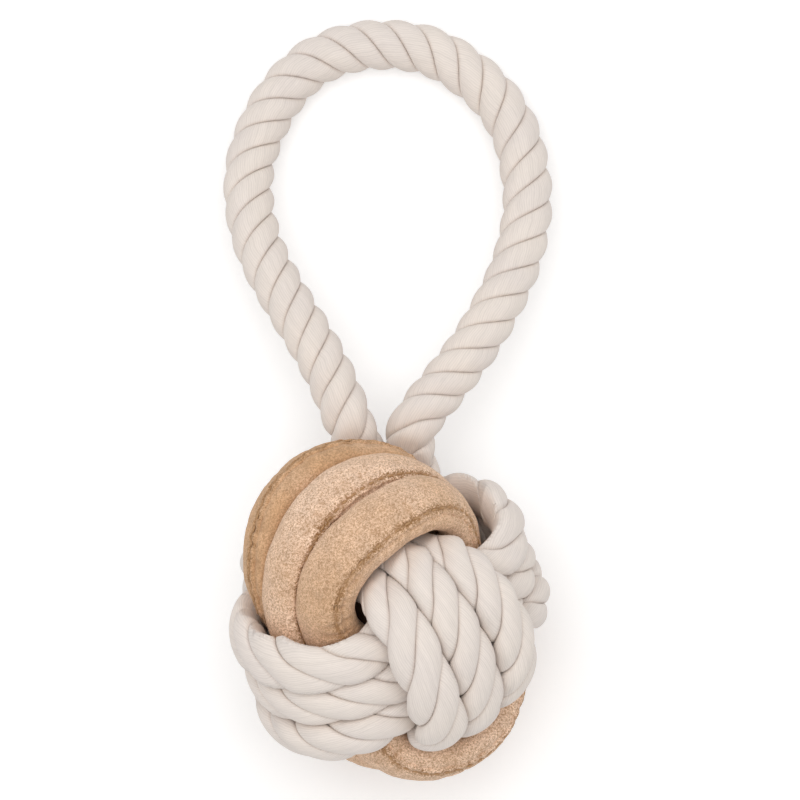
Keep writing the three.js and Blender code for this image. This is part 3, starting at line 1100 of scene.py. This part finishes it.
def finish_surface(tree, shader, colour, height, strength, relief, values):
    bump = add_node(tree, "ShaderNodeBump", {"Strength": strength, "Distance": relief})
    link(tree, height, bump.inputs["Height"])
    link(tree, bump.outputs["Normal"], shader.inputs["Normal"])
    link(tree, colour, shader.inputs["Base Color"])
    for key, value in values.items():
        shader.inputs[key].default_value = value


print("node groups so far:", len(bpy.data.node_groups))

# %% [markdown]
# The fibres are noise that is stretched along the second map coordinate. Their width is an input,
# because those of cotton are much finer than the suede's nap.

# %% Group: fibres along a map coordinate
FIBRE_STRETCH_SHARE = 0.3
fibres, fibres_in, fibres_out = new_group(
    "fibres",
    (("Vector", "NodeSocketVector", None), ("Width", "NodeSocketFloat", 0.15)),
    (("Factor", "NodeSocketFloat"),),
)
split = add_node(fibres, "ShaderNodeSeparateXYZ")
link(fibres, fibres_in.outputs["Vector"], split.inputs[0])
joined = add_node(fibres, "ShaderNodeCombineXYZ")
across = calculated(fibres, "DIVIDE", split.outputs["X"], fibres_in.outputs["Width"])
along = calculated(fibres, "MULTIPLY", split.outputs["Y"], FIBRE_STRETCH_SHARE)
link(fibres, across, joined.inputs["X"])
link(fibres, along, joined.inputs["Y"])
fibre_noise = noise_at(
    fibres, joined.outputs[0], {"Scale": 1.0, "Detail": 3.0, "Roughness": 0.6, "Distortion": 0.4}
)
link(fibres, fibre_noise, fibres_out.inputs["Factor"])
print(fibres.name, "is ready")

# %% [markdown]
# No natural material has one colour all over. This group mixes two close colours in soft patches of
# a size that is given in mm.

# %% Group: a slowly drifting tint
drift, drift_in, drift_out = new_group(
    "drift",
    (
        ("First", "NodeSocketColor", None),
        ("Second", "NodeSocketColor", None),
        ("Patch size in mm", "NodeSocketFloat", 14.0),
    ),
    (("Color", "NodeSocketColor"),),
)
place = add_node(drift, "ShaderNodeTexCoord").outputs["Object"]
patches = add_node(drift, "ShaderNodeTexNoise", {"Detail": 3.0, "Roughness": 0.55})
link(drift, place, patches.inputs["Vector"])
per_metre = calculated(drift, "DIVIDE", 1 / MM, drift_in.outputs["Patch size in mm"])
link(drift, per_metre, patches.inputs["Scale"])
spread = ranged(drift, patches.outputs["Fac"], (0.35, 0.65), (0, 1))
tint = mixed(drift, spread, drift_in.outputs["First"], drift_in.outputs["Second"])
link(drift, tint, drift_out.inputs["Color"])
print(drift.name, "is ready")

# %% [markdown]
# ## Cotton
# The yarns of a strand show as fine lines, less than a millimetre apart. Each line is a shallow wave
# in the bump, with painted shade in its valleys, a little lighter or darker than the next, and the
# yarns sway a little. Fibres run along them. The grooves between the strands are in shade and look
# greyer.

# %% The lines of the yarns
YARN_WIDTH_MM = 0.65
YARN_SWAY_MM = 1.6


def yarn_lines(tree, yarns):
    """Each yarn's wave, from 0 in a valley to 1 on top, and a random value of its own."""
    split = add_node(tree, "ShaderNodeSeparateXYZ")
    link(tree, yarns, split.inputs[0])
    sway = noise_at(tree, yarns, {"Scale": 0.16, "Detail": 2.0})
    swayed = calculated(tree, "MULTIPLY_ADD", sway, YARN_SWAY_MM, split.outputs["X"])
    count = calculated(tree, "MULTIPLY", swayed, 1 / YARN_WIDTH_MM)
    wave = calculated(tree, "PINGPONG", count, 0.5)
    own = add_node(tree, "ShaderNodeTexWhiteNoise", noise_dimensions="1D")
    link(tree, calculated(tree, "ROUND", count), own.inputs["W"])
    return ranged(tree, wave, (0, 0.5), (0, 1), "SMOOTHSTEP"), own.outputs["Value"]


print("yarns round one strand:", round(math.pi * ROPE / MM * strand_radius / YARN_WIDTH_MM))

# %% [markdown]
# The rope and the filler are both cotton. The rope is washed and light, and the filler, which nobody
# sees, is the plainer and greyer kind. So one function makes both, with their own two colours.


# %% Cotton of the rope and of the filler
def cotton_material(name, first, second, groove_shade):
    material, tree, shader = new_material(name)
    yarns = add_node(tree, "ShaderNodeUVMap", uv_map="yarns").outputs["UV"]
    wave, own = yarn_lines(tree, yarns)
    fibre_node = add_node(tree, "ShaderNodeGroup", {"Width": 0.14}, node_tree=fibres)
    link(tree, yarns, fibre_node.inputs["Vector"])
    fibre = fibre_node.outputs["Factor"]
    colours = {"First": first, "Second": second, "Patch size in mm": 16.0}
    base = add_node(tree, "ShaderNodeGroup", colours, node_tree=drift).outputs["Color"]
    colour = tinted(
        tree,
        base,
        ranged(tree, own, (0, 1), (0.96, 1.02)),
        # painted shade in the valleys between the yarns
        ranged(tree, wave, (0, 1), (0.93, 1.01)),
        ranged(tree, fibre, (0.3, 0.7), (0.93, 1.05)),
        ranged(tree, attribute_of(tree, "groove"), (0.1, 1), (1, groove_shade), "SMOOTHSTEP"),
    )
    height = calculated(tree, "MULTIPLY_ADD", fibre, 0.5, wave)
    matt = {"Roughness": 0.9, "Specular IOR Level": 0.25, "Sheen Weight": 0.15}
    finish_surface(tree, shader, colour, height, 0.35, 0.08 * MM, matt | {"Sheen Roughness": 0.5})
    return material


cotton = cotton_material("cotton_rope", (0.86, 0.775, 0.705, 1), (0.825, 0.745, 0.69, 1), 0.94)
filler_cotton = cotton_material("filler_cotton", (0.7, 0.64, 0.56, 1), (0.62, 0.56, 0.5, 1), 0.8)
print("cotton materials:", cotton.name, filler_cotton.name)

# %% [markdown]
# ## Suede
# The short nap breaks the colour up into light and dark specks, which also make the bump. The colour
# goes from yellow tan to pinkish tan with the way that the nap was brushed, as a painted sheen.

# %% Suede: the specks of the nap
SUEDE_TAN = (0.56, 0.345, 0.195, 1)
SUEDE_PINK = (0.8, 0.585, 0.44, 1)
SUEDE_BROWN = (0.42, 0.235, 0.115, 1)
NAP_LIGHT = 1.3
suede, tree, shader = new_material("suede")
place = add_node(tree, "ShaderNodeTexCoord").outputs["Object"]
# The nap's painted sheen mixes the tan into the pink.
tan = mixed(tree, attribute_of(tree, "nap_sheen"), SUEDE_TAN, SUEDE_PINK)
specks = noise_at(tree, place, {"Scale": 1900.0, "Detail": 2.0, "Roughness": 0.7, "Distortion": 0.8})
light_share = ranged(tree, specks, (0.4, 0.6), (0.2, 1))
colour = mixed(tree, light_share, SUEDE_BROWN, tinted(tree, tan, NAP_LIGHT))
print("suede has its specks")

# %% [markdown]
# Brushing and handling leave clouds and streaks on it. Shade is painted darker where the leather is
# pinched between turns, and brown painted shade lies down in its creases.

# %% Suede: clouds, streaks, and painted shade in pinches and creases
CREASE_SHADE_SHARE = 0.4
clouds = noise_at(tree, place, {"Scale": 260.0, "Detail": 2.0})
leather_map = add_node(tree, "ShaderNodeUVMap", uv_map="leather").outputs["UV"]
nap = add_node(tree, "ShaderNodeGroup", {"Width": 0.5}, node_tree=fibres)
link(tree, leather_map, nap.inputs["Vector"])
colour = tinted(
    tree,
    colour,
    ranged(tree, clouds, (0.3, 0.7), (0.9, 1.08)),
    ranged(tree, nap.outputs["Factor"], (0.3, 0.7), (0.93, 1.06)),
    # painted shade where the leather is pinched between turns
    ranged(tree, attribute_of(tree, "pinch_shade"), (0, 1), (1, 0.8)),
)
# Brown painted shade down in the creases.
crease_shade_share = calculated(tree, "MULTIPLY", attribute_of(tree, "crease"), CREASE_SHADE_SHARE)
colour = mixed(tree, crease_shade_share, colour, SUEDE_BROWN)
print("suede has its tints")

# %% [markdown]
# The leather is darkest along the seam: its raw edges are brown, and the same brown paints the shade
# down in the seam's groove. The brown fades out with the distance from the seam in mm. The nap's
# specks are added to that distance, to make the brown's border ragged, and slow noise makes it paler
# in some places.

# %% Suede: the brown along the seam
SEAM_BROWN = (0.3, 0.15, 0.055, 1)
RAGGED_MM = 6.0
aside = calculated(tree, "ABSOLUTE", attribute_of(tree, "seam_distance"))
ragged = calculated(tree, "MULTIPLY_ADD", specks, RAGGED_MM, aside)
seam_shade = ranged(tree, ragged, (2.9, 4.8), (1, 0), "SMOOTHSTEP")
worn = noise_at(tree, place, {"Scale": 140.0, "Detail": 2.0})
seam_share = calculated(tree, "MULTIPLY", seam_shade, ranged(tree, worn, (0.35, 0.6), (0.4, 1)))
# Brown of the raw edges, which also paints the shade in the seam's groove.
colour = mixed(tree, seam_share, colour, SEAM_BROWN)
matt = {"Roughness": 0.95, "Specular IOR Level": 0.15, "Sheen Weight": 0.25}
soft_edge = {"Sheen Roughness": 0.6, "Sheen Tint": (1.0, 0.85, 0.7, 1)}
finish_surface(tree, shader, colour, specks, 0.8, 0.3 * MM, matt | soft_edge)
print("suede has", len(tree.nodes), "nodes")

# %% [markdown]
# ## Thread and rubber
# Both are small or hidden, so two close colours and a little grain are enough. The thread is brown
# and matt, like the leather's edge, and the core is dark rubber.


# %% Thread and rubber
def speckled_material(name, first, second, size, roughness, relief):
    material, tree, shader = new_material(name)
    colours = {"First": first, "Second": second, "Patch size in mm": size}
    base = add_node(tree, "ShaderNodeGroup", colours, node_tree=drift).outputs["Color"]
    place = add_node(tree, "ShaderNodeTexCoord").outputs["Object"]
    grain = noise_at(tree, place, {"Scale": 1 / MM / size, "Detail": 4.0})
    finish_surface(tree, shader, base, grain, 0.5, relief, {"Roughness": roughness})
    return material


thread = speckled_material(
    "seam_thread", (0.5, 0.3, 0.15, 1), (0.4, 0.22, 0.1, 1), 0.6, 0.8, 0.05 * MM
)
rubber = speckled_material(
    "core_rubber", (0.13, 0.06, 0.035, 1), (0.18, 0.09, 0.05, 1), 3.0, 0.7, 0.1 * MM
)
print("small materials:", thread.name, rubber.name)

# %% [markdown]
# Every piece gets one material. The three lengths of bare rope share the same cotton.

# %% Give each piece its material
for piece in (handle, front, side):
    piece.data.materials.append(cotton)
for piece, material in ((sleeve, suede), (stitches, thread), (filler, filler_cotton), (core, rubber)):
    piece.data.materials.append(material)
print("materials:", len(bpy.data.materials))

# %% [markdown]
# ## Floor and light
# The toy lies on a white table that looks even and bright, with only a soft shadow round the toy.
# So the floor is a white plane that also glows a little, but only as the camera and the sharp rays
# see it: the glow doesn't light the toy.

# %% Floor
FLOOR_SIZE = 6.0
FLOOR_WHITE = 0.93
FLOOR_GLOW = 0.2
bpy.ops.object.select_all(action="DESELECT")
bpy.ops.mesh.primitive_plane_add(size=FLOOR_SIZE, location=(0, 0, 0))
floor = bpy.context.object
floor.name = "floor"
floor_material, tree, shader = new_material("floor_white")
shader.inputs["Base Color"].default_value = (FLOOR_WHITE, FLOOR_WHITE, FLOOR_WHITE, 1)
shader.inputs["Roughness"].default_value = 0.8
shader.inputs["Emission Color"].default_value = (1, 1, 1, 1)
ray = add_node(tree, "ShaderNodeLightPath").outputs
seen = calculated(tree, "ADD", ray["Is Camera Ray"], ray["Is Glossy Ray"])
seen = calculated(tree, "ADD", seen, ray["Is Transmission Ray"])
link(tree, calculated(tree, "MULTIPLY", seen, FLOOR_GLOW), shader.inputs["Emission Strength"])
floor.data.materials.append(floor_material)
print("the floor is", FLOOR_SIZE, "m wide")

# %% [markdown]
# One large soft lamp hangs high over the toy, so that grooves show without hard shadows, and a
# white room fills the rest. The view transform is Standard, which shows the colours as they are.

# %% Light
ROOM_STRENGTH = 0.62
LAMP_PLACE = Vector((-0.1, 0.3, 2.3))
LAMP_SIZE = 2.0
LAMP_POWER = 27
world = bpy.data.worlds.new("studio")
bpy.context.scene.world = world
world.use_nodes = True
world.node_tree.nodes["Background"].inputs["Color"].default_value = (1, 1, 1, 1)
world.node_tree.nodes["Background"].inputs["Strength"].default_value = ROOM_STRENGTH
bpy.ops.object.light_add(type="AREA", location=LAMP_PLACE)
lamp = bpy.context.object
lamp.data.shape = "SQUARE"
lamp.data.size = LAMP_SIZE
lamp.data.energy = LAMP_POWER
lamp.rotation_euler = LAMP_PLACE.to_track_quat("Z", "Y").to_euler()
bpy.context.scene.view_settings.view_transform = "Standard"
print("the lamp gives", LAMP_POWER, "W over", LAMP_SIZE, "m")
